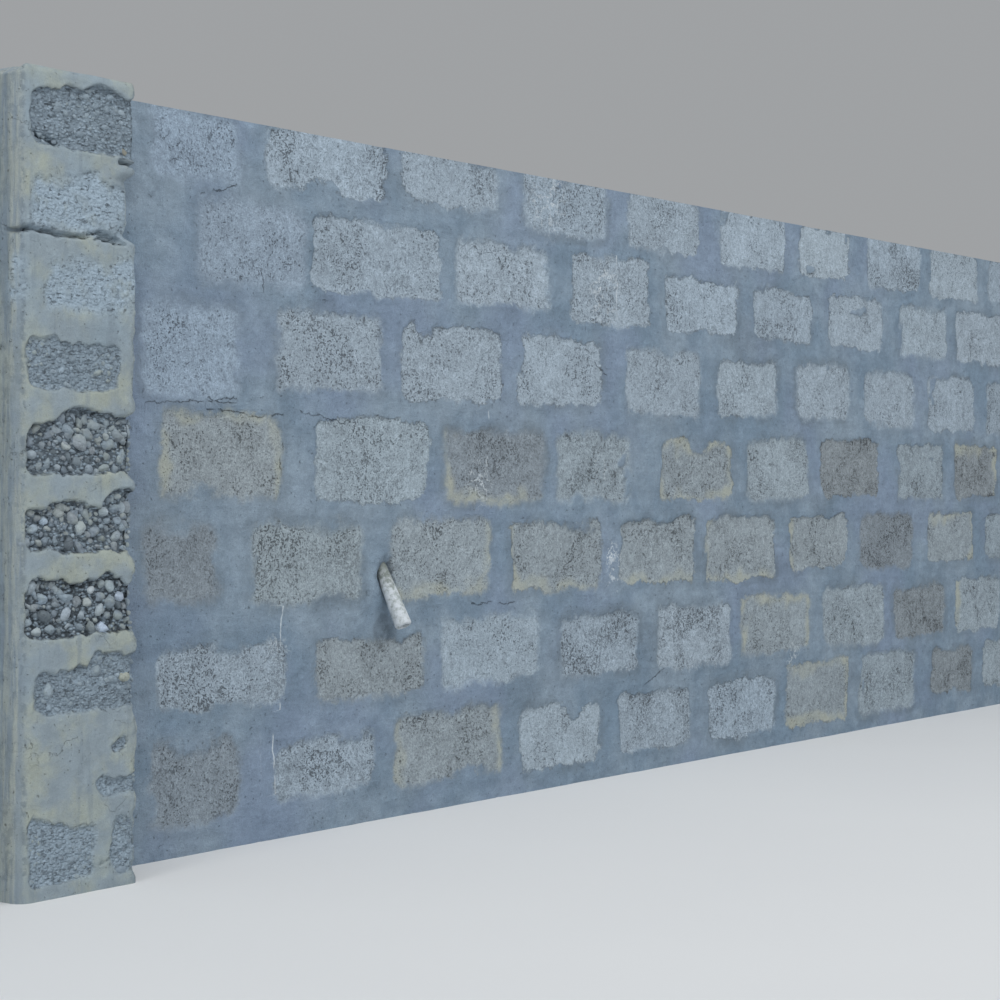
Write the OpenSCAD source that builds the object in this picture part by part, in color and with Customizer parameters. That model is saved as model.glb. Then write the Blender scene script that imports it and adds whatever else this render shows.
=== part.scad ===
// Garden wall of concrete blocks in two bays between three piers.
// The length runs along X, the front faces -Y, and Z is up.
// The origin is at ground level under the middle pier, halfway through its depth.

/* [Blocks] */
// Length of one whole block
block_l = 390; // [300:5:450]
// Height of one whole block
block_h = 190; // [150:5:220]
// Thickness of the blocks, which is the thickness of the panels
wall_t = 190; // [140:5:240]
// Thickness of the mortar in the panels, under and between blocks
joint = 20; // [8:1:30]
// Height of the cut blocks in the top course
top_course_h = 125; // [60:5:190]

/* [Bays] */
// Whole blocks between two piers
blocks_per_bay = 11; // [6:1:14]
// Courses of whole height under the top course
full_courses = 6; // [5:1:8]
// Mortar between the last block and the pier
end_joint = 52; // [10:1:60]
// Thickness of the mortar bed on the ground
base_bed_h = 50; // [10:5:80]

/* [Piers] */
// Width of a pier along the wall
pier_w = 275; // [200:5:400]
// How far a pier stands in front of the panels
pier_proj = 135; // [60:5:250]
// Slabs stacked in a pier
pier_courses = 10; // [5:1:12]
// Thickness of the mortar between a pier's slabs
pier_joint = 24; // [10:1:30]
// Thickness of the mortar under a pier's lowest slab
pier_base_bed_h = 14; // [8:1:40]
// Thickness of the mortar cap on a pier
pier_cap_h = 25; // [10:1:50]
// Radius of a pier's two front arrises
arris_r = 22; // [5:1:40]

/* [Weep pipes] */
// Outside diameter of a weep pipe at its mouth
pipe_mouth_d = 38; // [34:1:50]
// Outside diameter at the end set in the wall, where it is narrower
pipe_root_d = 26; // [22:1:34]
// Diameter of the bore at the mouth
outlet_d = 22; // [16:1:24]
// Depth of that bore
outlet_depth = 80; // [40:1:90]
// Diameter of the narrower bore behind it
pipe_bore_d = 16; // [8:1:16]
// How far the pipe leans below level
pipe_lean = 62; // [20:1:65]
// Length of pipe that shows
pipe_out = 109; // [100:1:140]
// Length of pipe that is set in the wall
pipe_set_in = 60; // [30:1:80]
// Course that the pipe comes out of, counted from the ground
pipe_course = 3; // [3:2:5]
// Block left whole under the pipe's hole
pipe_sill = 8; // [4:1:30]
// Whole blocks between the pier on the left and the pipe
pipe_after_blocks = 2; // [1:1:4]
// How far the pipe stands to the left of the upright joint after them
pipe_off_joint = 30; // [0:5:100]

/* [Hidden] */
$fn = 64;
bays = 2;
side = ["left", "right"];
post = ["left", "middle", "right"];
courses = full_courses + 1;
wall_h = base_bed_h + full_courses * (block_h + joint) + top_course_h;
pier_d = wall_t + pier_proj;
pier_block_h = (wall_h - pier_base_bed_h - pier_cap_h - (pier_courses - 1) * pier_joint) / pier_courses;
panel_l = blocks_per_bay * block_l + (blocks_per_bay - 1) * joint + 2 * end_joint;
bay_l = panel_l + pier_w;
front_y = -pier_d / 2;
panel_y = front_y + pier_proj;
pipe_l = pipe_set_in + pipe_out;
// Diameter of the pipe where its middle leaves the panel's face
pipe_face_d = pipe_root_d + (pipe_mouth_d - pipe_root_d) * pipe_set_in / pipe_l;
pipe_rise = pipe_sill + pipe_face_d / 2 / cos(pipe_lean);
pipe_along = end_joint + pipe_after_blocks * block_l + (pipe_after_blocks - 0.5) * joint - pipe_off_joint;
block_colour = "#9aa6ae";
mortar_colour = "#7f91a6";
slab_colour = "#8f918c";
pier_mortar_colour = "#a3aca6";
pipe_colour = "#c9ced3";

// Left end of bay i, and the middle of pier i, along the wall
function panel_x(i) = (i - 1) * bay_l + pier_w / 2;
function pier_x(i) = (i - 1) * bay_l;
// Underside of course c, and its height
function course_z(c) = base_bed_h + (c - 1) * (block_h + joint);
function course_h(c) = c > full_courses ? top_course_h : block_h;
// Underside of slab s of a pier
function slab_z(s) = pier_base_bed_h + (s - 1) * (pier_block_h + pier_joint);

// Length of panel between two piers, from z upwards for h
module strip(z, h) {
    translate([0, panel_y, z]) cube([panel_l, wall_t, h]);
}

// One course of blocks with the upright joints between them
module course(i, c) {
    color(block_colour)
        translate([panel_x(i), 0, 0])
            difference() {
                strip(course_z(c), course_h(c));
                if (c == pipe_course) pipe_place() pipe_body();
            }
}

// Bed on the ground and the beds between the courses, each apart from the next
module panel_beds(i) {
    color(mortar_colour)
        translate([panel_x(i), 0, 0]) {
            strip(0, base_bed_h);
            for (c = [1:full_courses]) strip(course_z(c) + block_h, joint);
        }
}

// Puts its children at the point where the pipe leaves the panel's face, with Z along the pipe
module pipe_place() {
    translate([pipe_along, panel_y, course_z(pipe_course) + pipe_rise])
        rotate([90 + pipe_lean, 0, 0])
            children();
}

// Outside of the pipe, wider towards its mouth
module pipe_body() {
    translate([0, 0, -pipe_set_in]) cylinder(h = pipe_l, d1 = pipe_root_d, d2 = pipe_mouth_d);
}

module weep_pipe(i) {
    color(pipe_colour)
        translate([panel_x(i), 0, 0])
            pipe_place()
                difference() {
                    pipe_body();
                    translate([0, 0, pipe_out - outlet_depth]) cylinder(h = outlet_depth + 1, d = outlet_d);
                    translate([0, 0, -pipe_set_in - 1]) cylinder(h = pipe_l, d = pipe_bore_d);
                }
}

// Plan of a pier, its two front arrises rounded
module pier_plan() {
    translate([-pier_w / 2, front_y + arris_r]) square([pier_w, pier_d - arris_r]);
    translate([-pier_w / 2 + arris_r, front_y]) square([pier_w - 2 * arris_r, pier_d]);
    for (s = [-1, 1]) {
        translate([s * (pier_w / 2 - arris_r), front_y + arris_r]) circle(r = arris_r);
    }
}

// Layer of a pier from z upwards for h
module pier_layer(i, z, h) {
    translate([pier_x(i), 0, z]) linear_extrude(height = h) pier_plan();
}

module pier_slabs(i) {
    color(slab_colour)
        for (s = [1:pier_courses]) pier_layer(i, slab_z(s), pier_block_h);
}

module pier_beds(i) {
    color(pier_mortar_colour) {
        pier_layer(i, 0, pier_base_bed_h);
        for (s = [1:pier_courses - 1]) pier_layer(i, slab_z(s) + pier_block_h, pier_joint);
    }
}

module pier_cap(i) {
    color(pier_mortar_colour) pier_layer(i, wall_h - pier_cap_h, pier_cap_h);
}

for (i = [0:bays - 1]) {
    for (c = [1:courses]) {
        course(i, c);
    }
    panel_beds(i);
    weep_pipe(i);
}
for (i = [0:bays]) {
    pier_slabs(i);
    pier_beds(i);
    pier_cap(i);
}
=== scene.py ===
import math

import bpy
import numpy as np
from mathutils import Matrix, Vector


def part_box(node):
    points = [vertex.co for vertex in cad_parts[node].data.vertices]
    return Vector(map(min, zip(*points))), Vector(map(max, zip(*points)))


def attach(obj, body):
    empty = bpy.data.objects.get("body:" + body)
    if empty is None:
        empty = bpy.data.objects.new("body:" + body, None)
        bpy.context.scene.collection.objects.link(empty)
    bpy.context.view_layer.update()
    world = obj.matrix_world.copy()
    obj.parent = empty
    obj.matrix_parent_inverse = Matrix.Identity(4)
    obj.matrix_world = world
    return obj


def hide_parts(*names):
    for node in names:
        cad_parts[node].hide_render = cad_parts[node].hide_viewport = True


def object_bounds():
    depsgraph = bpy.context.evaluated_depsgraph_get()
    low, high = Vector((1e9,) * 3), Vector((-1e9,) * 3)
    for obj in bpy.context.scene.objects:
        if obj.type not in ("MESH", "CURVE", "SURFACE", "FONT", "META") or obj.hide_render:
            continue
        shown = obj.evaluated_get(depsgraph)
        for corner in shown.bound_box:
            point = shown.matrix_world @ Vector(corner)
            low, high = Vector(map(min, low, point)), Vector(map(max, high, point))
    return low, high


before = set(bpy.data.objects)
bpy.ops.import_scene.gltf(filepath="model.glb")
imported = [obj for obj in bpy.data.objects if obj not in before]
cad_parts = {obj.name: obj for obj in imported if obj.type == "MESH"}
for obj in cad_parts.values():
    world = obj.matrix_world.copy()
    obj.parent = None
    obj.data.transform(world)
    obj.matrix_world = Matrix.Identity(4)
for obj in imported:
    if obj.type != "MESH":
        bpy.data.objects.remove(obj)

cad_low, cad_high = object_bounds()

# ---------------------------------------------------------------------------
# Camera, lights and floor. The wall is looked at from about 3 m in front and
# 2.5 m to the left of its middle pier, at half its height, along its length.
# ---------------------------------------------------------------------------
wall_h = cad_high.z
pier_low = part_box("middle_pier_slabs")[0]

camera_data = bpy.data.cameras.new("camera")
camera_data.lens = 78.1
camera_data.sensor_width = 36.0
camera_data.clip_end = 200.0
camera = bpy.data.objects.new("camera", camera_data)
camera.location = (-2.548, pier_low.y - 2.898, wall_h / 2)
camera.rotation_euler = (math.radians(90 - 0.436), 0.0, math.radians(-52.25))
bpy.context.scene.collection.objects.link(camera)
bpy.context.scene.camera = camera
bpy.context.scene.view_settings.view_transform = "Standard"


def put(tree, kind, inputs=None, **settings):
    """Adds a node. An input given as a socket is linked, any other is set."""
    new = tree.nodes.new(kind)
    for key, value in settings.items():
        setattr(new, key, value)
    for key, value in (inputs or {}).items():
        if isinstance(value, bpy.types.NodeSocket):
            tree.links.new(value, new.inputs[key])
        else:
            new.inputs[key].default_value = value
    return new


def paint(code):
    """A colour as written on a paint card, turned into light values."""
    parts = [int(code[i:i + 2], 16) / 255 for i in (1, 3, 5)]
    return tuple(p / 12.92 if p < 0.04045 else ((p + 0.055) / 1.055) ** 2.4 for p in parts) + (1.0,)


def area_light(name, place, aim, size, power):
    """A soft lamp of that width and height, turned to face a point."""
    data = bpy.data.lights.new(name, "AREA")
    data.shape = "RECTANGLE"
    data.size, data.size_y = size
    data.energy = power
    light = bpy.data.objects.new(name, data)
    light.location = place
    light.rotation_euler = (Vector(aim) - Vector(place)).to_track_quat("-Z", "Y").to_euler()
    bpy.context.scene.collection.objects.link(light)


area_light("sky_panel", (1.5, -3.5, 7.0), (2.0, 0.0, 0.6), (13.0, 5.0), 430.0)
area_light("front_panel", (-1.0, -9.0, 3.2), (2.0, 0.0, 0.7), (8.0, 4.0), 165.0)
area_light("side_panel", (-10.0, -2.5, 3.0), (0.0, 0.0, 0.7), (3.0, 3.0), 300.0)
area_light("back_panel", (2.0, 8.0, 5.0), (0.0, 0.0, 0.7), (10.0, 4.0), 380.0)

world = bpy.data.worlds.new("studio")
bpy.context.scene.world = world
world.use_nodes = True
world.node_tree.nodes["Background"].inputs["Color"].default_value = paint("#e6e9ec")
world.node_tree.nodes["Background"].inputs["Strength"].default_value = 0.44

floor_mesh = bpy.data.meshes.new("floor")
floor_mesh.from_pydata([(-30, -30, 0), (30, -30, 0), (30, 30, 0), (-30, 30, 0)], [], [(0, 1, 2, 3)])
floor = bpy.data.objects.new("floor", floor_mesh)
bpy.context.scene.collection.objects.link(floor)
floor_paint = bpy.data.materials.new("studio_floor")
floor_paint.use_nodes = True
tree = floor_paint.node_tree
place = put(tree, "ShaderNodeTexCoord").outputs["Object"]
cloud = put(tree, "ShaderNodeTexNoise", {"Vector": place, "Scale": 0.8, "Detail": 3.0})
ramp = put(tree, "ShaderNodeMix", {"Factor": cloud.outputs["Fac"], "A": paint("#d5d7d9"),
                                   "B": paint("#dcdedf")}, data_type="RGBA")
tree.links.new(ramp.outputs["Result"], tree.nodes["Principled BSDF"].inputs["Base Color"])
tree.nodes["Principled BSDF"].inputs["Roughness"].default_value = 0.9
floor_mesh.materials.append(floor_paint)

# ---------------------------------------------------------------------------
# Panels. Each bay is a panel of concrete blocks laid in courses with half
# bond. The mortar was trowelled flush and drawn over the edges of the blocks,
# so each block shows a ragged, smaller face with pits in it.
# ---------------------------------------------------------------------------
# Half the length of a block, and the mortar between two
BLOCK_HALF = 0.195
JOINT = 0.020
COURSES = 7

# Colour of a block and how much of its face is pitted
TONES = {
    "blue": (paint("#93a1ad"), 0.60),
    "mist": (paint("#8b9bab"), 0.35),
    "pale": (paint("#98a6b1"), 0.35),
    "rough": (paint("#94a2ae"), 0.85),
    "grey": (paint("#909da6"), 0.65),
    "warm": (paint("#8c979e"), 0.60),
    "pitted": (paint("#8f9ba2"), 0.80),
    "brown": (paint("#808a92"), 0.70),
    "dark": (paint("#848d93"), 0.95),
}

# The right bay's front, course by course from the pier outwards. Each block: the left, right,
# low and high edges of the face left bare, in mm from the panel's left end and the ground, its
# tone, the sides where pale render clings and the sides that mortar bites into.
RIGHT_FRONT = {
    7: [(158, 388, 1306, 1440, "mist//b"), (472, 834, 1322, 1440, "blue//b"),
        (890, 1232, 1338, 1440, "blue//"), (1330, 1657, 1310, 1440, "rough//"),
        (1748, 2073, 1300, 1440, "blue//"), (2180, 2511, 1293, 1440, "blue//"),
        (2587, 2879, 1301, 1440, "pale//"), (2988, 3318, 1294, 1440, "rough//"),
        (3392, 3714, 1291, 1440, "pale//"), (3795, 4117, 1300, 1440, "blue//"),
        (4190, 4540, 1300, 1440, "blue//")],
    6: [(20, 60, 1120, 1200, "mist//ltrb"), (278, 583, 1112, 1274, "mist//"),
        (604, 1016, 1122, 1271, "blue//t"), (1075, 1420, 1123, 1264, "blue//t"),
        (1516, 1846, 1108, 1269, "rough//"), (1923, 2260, 1108, 1245, "blue//"),
        (2347, 2654, 1108, 1250, "blue//"), (2757, 3075, 1110, 1258, "blue//"),
        (3189, 3502, 1104, 1251, "pale//l"), (3572, 3908, 1100, 1256, "blue//"),
        (3990, 4300, 1105, 1255, "blue//")],
    5: [(134, 390, 886, 1062, "mist//r"), (500, 821, 910, 1069, "blue//l"),
        (893, 1232, 902, 1067, "blue//t"), (1300, 1641, 900, 1058, "blue//l"),
        (1740, 2073, 890, 1053, "blue//t"), (2166, 2463, 898, 1045, "pale//"),
        (2577, 2874, 900, 1050, "blue//"), (2970, 3280, 888, 1049, "blue//"),
        (3373, 3694, 880, 1044, "blue//"), (3789, 4119, 880, 1040, "blue//"),
        (4200, 4520, 884, 1046, "grey//")],
    4: [(20, 90, 700, 800, "mist//ltrb"), (185, 509, 684, 858, "warm/ltr/b"),
        (613, 974, 680, 853, "grey//"), (1040, 1396, 675, 838, "brown/lb/"),
        (1452, 1757, 675, 836, "grey//rb"), (1900, 2236, 672, 828, "warm/ltrb/t"),
        (2317, 2644, 681, 836, "grey//"), (2717, 3057, 681, 840, "dark//"),
        (3177, 3476, 672, 838, "grey//l"), (3566, 3857, 672, 836, "dark/tr/"),
        (3960, 4260, 675, 835, "grey//")],
    3: [(136, 330, 490, 634, "brown//tr"), (434, 756, 479, 634, "pitted//t"),
        (856, 1195, 469, 639, "warm/rb/t"), (1277, 1628, 463, 622, "warm/lb/t"),
        (1718, 2055, 464, 624, "warm/b/"), (2113, 2459, 462, 626, "warm/lb/"),
        (2539, 2869, 478, 626, "warm/l/"), (2947, 3268, 470, 624, "brown//"),
        (3375, 3688, 478, 620, "warm/tr/"), (3783, 4121, 477, 615, "grey//"),
        (4200, 4530, 472, 620, "warm/b/")],
    2: [(20, 90, 280, 380, "mist//ltrb"), (176, 520, 280, 402, "rough//t"),
        (613, 960, 265, 388, "warm//t"), (1026, 1377, 264, 417, "pale//t"),
        (1468, 1797, 257, 396, "rough//"), (1892, 2226, 246, 404, "rough//"),
        (2287, 2651, 258, 412, "warm/ltr/t"), (2730, 3096, 250, 417, "grey//"),
        (3159, 3484, 256, 403, "dark//"), (3568, 3889, 250, 415, "grey/l/"),
        (3980, 4300, 250, 410, "warm//")],
    1: [(145, 385, 63, 218, "brown//lt"), (488, 797, 78, 190, "rough//tb"),
        (869, 1235, 64, 214, "warm/lr/b"), (1303, 1637, 50, 190, "pale//t"),
        (1718, 2036, 50, 200, "rough//"), (2123, 2465, 45, 198, "rough//"),
        (2524, 2876, 44, 220, "warm/trb/"), (2948, 3283, 44, 216, "grey//"),
        (3403, 3683, 66, 202, "dark//b"), (3763, 4083, 60, 208, "grey//"),
        (4190, 4520, 62, 210, "warm/l/")],
}
# Tones of the blocks that are laid by rule, in the lower and in the upper courses
LOW_TONES = ["blue", "blue", "grey", "warm", "pale", "rough", "grey", "warm", "dark", "brown"]
TOP_TONES = ["blue", "blue", "blue", "pale", "blue", "grey"]

# Middle of the first block, and the pitch, by course, where the bond is regular
LAID = {7: (0.2475, 0.410), 6: (0.110, 0.414), 5: (0.2475, 0.410), 4: (0.070, 0.422),
        3: (0.2475, 0.410), 2: (0.070, 0.422), 1: (0.2475, 0.411)}
# Half the length of the cut block that a course starts with
SHORT_FIRST = {6: 0.098, 4: 0.056, 2: 0.056}


def scatter(i, j, seed):
    """A fixed random number from 0 to 1 for each cell of a square lattice."""
    h = (i.astype(np.int64) * 374761393 + j.astype(np.int64) * 668265263 + seed * 974634777) & 0xFFFFFFFF
    h = ((h ^ (h >> 13)) * 1274126177) & 0xFFFFFFFF
    return ((h ^ (h >> 16)) & 0xFFFFFF) / float(0x1000000)


def wave(x, z, size, seed):
    """Smooth random swell from -1 to 1, with hills about size across."""
    i, j = np.floor(x / size), np.floor(z / size)
    u, v = x / size - i, z / size - j
    u, v = u * u * (3 - 2 * u), v * v * (3 - 2 * v)
    low = scatter(i, j, seed) * (1 - u) + scatter(i + 1, j, seed) * u
    high = scatter(i, j + 1, seed) * (1 - u) + scatter(i + 1, j + 1, seed) * u
    return (low * (1 - v) + high * v) * 2 - 1


def rough(x, z, size, seed, layers=3):
    """Swells of falling size on top of each other."""
    total = np.zeros(np.broadcast(x, z).shape)
    for n in range(layers):
        total = total + wave(x, z, size / 2 ** n, seed + 17 * n) / 2 ** n
    return total / 1.6


def ease(value, low, high):
    """0 below low, 1 above high, smooth in between."""
    t = np.clip((value - low) / (high - low), 0.0, 1.0)
    return t * t * (3 - 2 * t)


class Block:
    """One block of a course: the face left bare of mortar, and how it looks."""

    def __init__(self, left, right, low, high, words, rng, measured=False):
        tone, pale_sides, bites = words.split("/")
        self.colour, self.pits = TONES[tone]
        bright, warm = rng.normal(0.99, 0.032), rng.normal(0.0, 0.006)
        self.colour = tuple(c * bright * (1 + k * warm) for c, k in zip(self.colour[:3], (1, 0, -1)))
        self.pale_sides = pale_sides
        if not measured:
            left, right = left + rng.uniform(0.016, 0.034), right - rng.uniform(0.016, 0.034)
            low, high = low + rng.uniform(0.002, 0.012), high - rng.uniform(0.010, 0.028)
        if len(bites) == 4:
            left, right, low, high = left + 0.05, right - 0.05, low + 0.05, high - 0.05
        self.left, self.right, self.low, self.high = left, right, low, high
        self.corner = min(rng.uniform(0.012, 0.034), 0.4 * (right - left), 0.4 * (high - low))
        self.corner = max(self.corner, 0.002)
        self.soft = rng.uniform(0.0, 0.55) + 0.10 * len(bites) + {"mist": 0.7, "brown": 0.2}.get(tone, 0.0)
        self.halo = rng.uniform(0.1, 1.0)
        self.sunk = rng.uniform(0.0010, 0.0040)
        self.tilt = rng.uniform(-0.008, 0.008), rng.uniform(-0.012, 0.012)
        self.holes = []
        for side in bites if len(bites) < 4 else "":
            across, up = rng.uniform(0.2, 0.8), rng.uniform(0.2, 0.8)
            size, wide = rng.uniform(0.008, 0.022), rng.uniform(1.4, 3.4)
            x = {"l": left, "r": right}.get(side, left + across * (right - left))
            z = {"b": low, "t": high}.get(side, low + up * (high - low))
            stretch = (1.0, wide) if side in "lr" else (wide, 1.0)
            self.holes.append((x, z, size, *stretch))


def lay_course(course, low, high, length, words, rng):
    """The blocks of one course from the left end of a panel of that length."""
    start, pitch = LAID[course]
    blocks = []
    middle, half = start, SHORT_FIRST.get(course, BLOCK_HALF)
    for n in range(14):
        if middle - half > length - 0.06:
            break
        right = min(middle + half, length - JOINT)
        if right - (middle - half) > 0.07:
            blocks.append(Block(middle - half, right, low, high, words[n % len(words)], rng))
        if n == 0 and half != BLOCK_HALF:
            middle = start + half + JOINT + BLOCK_HALF
            half = BLOCK_HALF
        else:
            middle += pitch
    return blocks


def round_box(px, pz, left, right, low, high, corner):
    """How deep a point lies inside a box with rounded corners; below zero outside."""
    qx = np.abs(px - (left + right) / 2) - ((right - left) / 2 - corner)
    qz = np.abs(pz - (low + high) / 2) - ((high - low) / 2 - corner)
    return corner - np.hypot(np.maximum(qx, 0), np.maximum(qz, 0)) - np.minimum(np.maximum(qx, qz), 0)


def bare_faces(xs, zs, blocks, seed):
    """How deep each grid point lies inside a bare block face, and which block that is."""
    x, z = np.meshgrid(xs, zs)
    wx = x + 0.014 * rough(x, z, 0.095, seed) + 0.009 * rough(x, z, 0.030, seed + 5, 2)
    wz = z + 0.012 * rough(x, z, 0.095, seed + 9) + 0.009 * rough(x, z, 0.030, seed + 14, 2)
    depth = np.full(x.shape, -0.05)
    owner = np.zeros(x.shape, int)
    for n, block in enumerate(blocks):
        a, b = np.searchsorted(xs, (block.left - 0.08, block.right + 0.08))
        c, d = np.searchsorted(zs, (block.low - 0.06, block.high + 0.06))
        px, pz = wx[c:d, a:b], wz[c:d, a:b]
        inside = round_box(px, pz, block.left, block.right, block.low, block.high, block.corner)
        for hx, hz, size, wide, tall in block.holes:
            size = size * (1 + 0.7 * rough(px, pz, 0.045, seed + 23))
            inside = np.minimum(inside, np.hypot((px - hx) / wide, (pz - hz) / tall) - size)
        deeper = inside > depth[c:d, a:b]
        depth[c:d, a:b] = np.where(deeper, inside, depth[c:d, a:b])
        owner[c:d, a:b] = np.where(deeper, n, owner[c:d, a:b])
    return x, z, wx, wz, depth, owner


def panel_face(xs, zs, blocks, seed):
    """Relief and finish of one face of a panel: height above the face plane, then the paint layers."""
    x, z, wx, wz, depth, owner = bare_faces(xs, zs, blocks, seed)
    each = {key: np.array([getattr(b, key) for b in blocks]) for key in
            ("left", "right", "low", "high", "soft", "halo", "sunk", "pits")}
    tint = np.array([b.colour for b in blocks])
    patch = rough(x, z, 0.11, seed + 31)
    depth = depth - 0.05 * ease(patch, 0.50, 0.85) * ease(depth, 0.0, 0.02)
    soft = np.clip(each["soft"][owner] + 0.45 * rough(x, z, 0.09, seed + 35), 0.02, 1.0)

    cream = np.zeros(x.shape)
    reach = {"l": wx - each["left"][owner], "r": each["right"][owner] - wx,
             "t": each["high"][owner] - wz, "b": wz - each["low"][owner]}
    for side in "lrtb":
        has = np.array([side in b.pale_sides for b in blocks])[owner]
        band = 0.014 + 0.034 * rough(x, z, 0.06, seed + 41 + ord(side))
        cream = np.maximum(cream, has * ease(band - reach[side], -0.016, 0.012))
    cream *= ease(depth, -0.012, 0.0) * (0.55 + 0.45 * ease(rough(x, z, 0.05, seed + 48), -0.3, 0.3))
    # Darker mortar next to the pier at the panel's left end: partly a damp stain, partly painted shade from
    # the pier. Random damp patches are added after it.
    damp = ease(0.125 - x + 0.06 * rough(x, z, 0.10, seed + 81), -0.04, 0.08) * (x < 0.4)
    damp = np.maximum(damp, 0.55 * ease(rough(x, z, 0.16, seed + 85), 0.35, 0.8))

    bare = ease(depth, -0.003, 0.004)
    mortar = 0.0024 * rough(x, z, 0.20, seed + 51) + 0.0009 * rough(x / 4, z, 0.024, seed + 55) - 0.0016
    mortar += 0.0012 * rough(x, z, 0.045, seed + 57) - 0.0022 * ease(wave(x, z, 0.03, seed + 59), 0.72, 0.95)
    tilt = np.array([b.tilt for b in blocks])[owner]
    mid_x = (each["left"] + each["right"])[owner] / 2
    mid_z = (each["low"] + each["high"])[owner] / 2
    block = -each["sunk"][owner] + tilt[..., 0] * (x - mid_x) + tilt[..., 1] * (z - mid_z)
    block += 0.0014 * rough(x, z, 0.034, seed + 61, 4) * (0.6 + each["pits"][owner])
    block -= 0.0045 * ease(wave(x, z, 0.013, seed + 65), 0.62, 0.95) * each["pits"][owner]
    block += 0.0012 * cream
    height = mortar * (1 - bare) + block * bare
    lip = np.exp(-((depth + 0.005) / 0.005) ** 2) * ease(rough(x, z, 0.08, seed + 71), -0.3, 0.6)
    height += 0.0016 * lip * (1 - soft)
    upper = ease(wz - mid_z, 0.02, 0.06)
    gap = np.exp(-((depth - 0.001) / 0.0035) ** 2) * ease(rough(x, z, 0.06, seed + 75), 0.1, 0.7)
    height -= 0.0040 * gap * (0.25 + 0.75 * upper) * (1 - 0.8 * soft)
    return {"height": height, "depth": depth,
            "tint": np.dstack([tint[owner], each["pits"][owner]]),
            "marks": np.dstack([cream, soft, each["halo"][owner], np.zeros(x.shape)]),
            "crack": np.full(x.shape, 0.06), "drip": np.full(x.shape, 0.06), "damp": damp, "x": x, "z": z}


def draw_line(layer, points, grid_x, grid_z, upright=False):
    """Marks how far each point is from a line through the given points, on either side of it."""
    along, across = (grid_z, grid_x) if upright else (grid_x, grid_z)
    course = sorted((p[::-1] if upright else p) for p in points)
    a = np.array([p[0] for p in course])
    b = np.array([p[1] for p in course])
    away = across - np.interp(along, a, b) + 0.003 * wave(along, across * 0, 0.02, 7)
    near = (along > a[0]) & (along < a[-1]) & (np.abs(away) < 0.04) & (np.abs(away) < np.abs(layer))
    layer[near] = away[near]


def solid_mesh(name, verts, quads, polygons, normals=None):
    """A closed mesh from arrays: quads first, then flat many-sided rim faces.
    Normals given for the points keep the shading unbroken from one piece to the next."""
    mesh = bpy.data.meshes.new(name)
    mesh.vertices.add(len(verts))
    mesh.vertices.foreach_set("co", verts.astype(np.float32).ravel())
    flat = np.array([i for p in polygons for i in p], np.int32)
    sizes = np.array([len(p) for p in polygons], np.int32)
    loops = np.concatenate([quads.ravel().astype(np.int32), flat])
    totals = np.concatenate([np.full(len(quads), 4, np.int32), sizes])
    starts = np.concatenate([[0], np.cumsum(totals)[:-1]]).astype(np.int32)
    mesh.loops.add(len(loops))
    mesh.loops.foreach_set("vertex_index", loops)
    mesh.polygons.add(len(totals))
    mesh.polygons.foreach_set("loop_start", starts)
    smooth = np.zeros(len(totals), bool)
    smooth[:len(quads)] = True
    mesh.polygons.foreach_set("use_smooth", smooth)
    mesh.update(calc_edges=True)
    if normals is not None:
        corners = np.zeros((len(loops), 3), np.float32)
        corners[:quads.size] = normals[quads.ravel()]
        mesh.normals_split_custom_set(corners)
    return mesh


def add_layers(mesh, layers):
    """Stores the paint layers on the mesh, for the materials to read."""
    for name, values in layers.items():
        if values.ndim == 2:
            data = mesh.attributes.new(name, "FLOAT_COLOR", "POINT").data
            data.foreach_set("color", values.astype(np.float32).ravel())
        else:
            data = mesh.attributes.new(name, "FLOAT", "POINT").data
            data.foreach_set("value", values.astype(np.float32).ravel())


def grid_quads(ids):
    """The faces between neighbouring points of a grid of point numbers."""
    return np.stack([ids[:-1, :-1], ids[:-1, 1:], ids[1:, 1:], ids[1:, :-1]], -1).reshape(-1, 4)


def joined(parts):
    """Several closed shapes, each with its rim faces and layers, as one."""
    verts, quads, rims, layers, offset = [], [], [], {}, 0
    for v, q, r, own in parts:
        verts.append(v)
        quads.append(q + offset)
        rims += [[i + offset for i in face] for face in r]
        for name, values in own.items():
            layers.setdefault(name, []).append(values)
        offset += len(v)
    layers = {name: np.concatenate(values) for name, values in layers.items()}
    return np.concatenate(verts), np.concatenate(quads), rims, layers


def place_piece(name, shape, material, node):
    """Makes the mesh of a shape and puts it in the scene in the place of its CAD node."""
    verts, quads, rims, layers = shape
    mesh = solid_mesh(f"{name}_mesh", verts, quads, rims, layers.pop("normal", None))
    add_layers(mesh, layers)
    mesh.materials.append(material)
    piece = bpy.data.objects.new(name, mesh)
    bpy.context.scene.collection.objects.link(piece)
    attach(piece, "root")
    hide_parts(node)
    return piece


# Paint layers of a panel, and where its faces keep them
PAINTED = {"bare_depth": "depth", "block_tint": "tint", "block_marks": "marks", "crack": "crack",
           "drip": "drip", "damp": "damp", "normal": "normal"}


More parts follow.
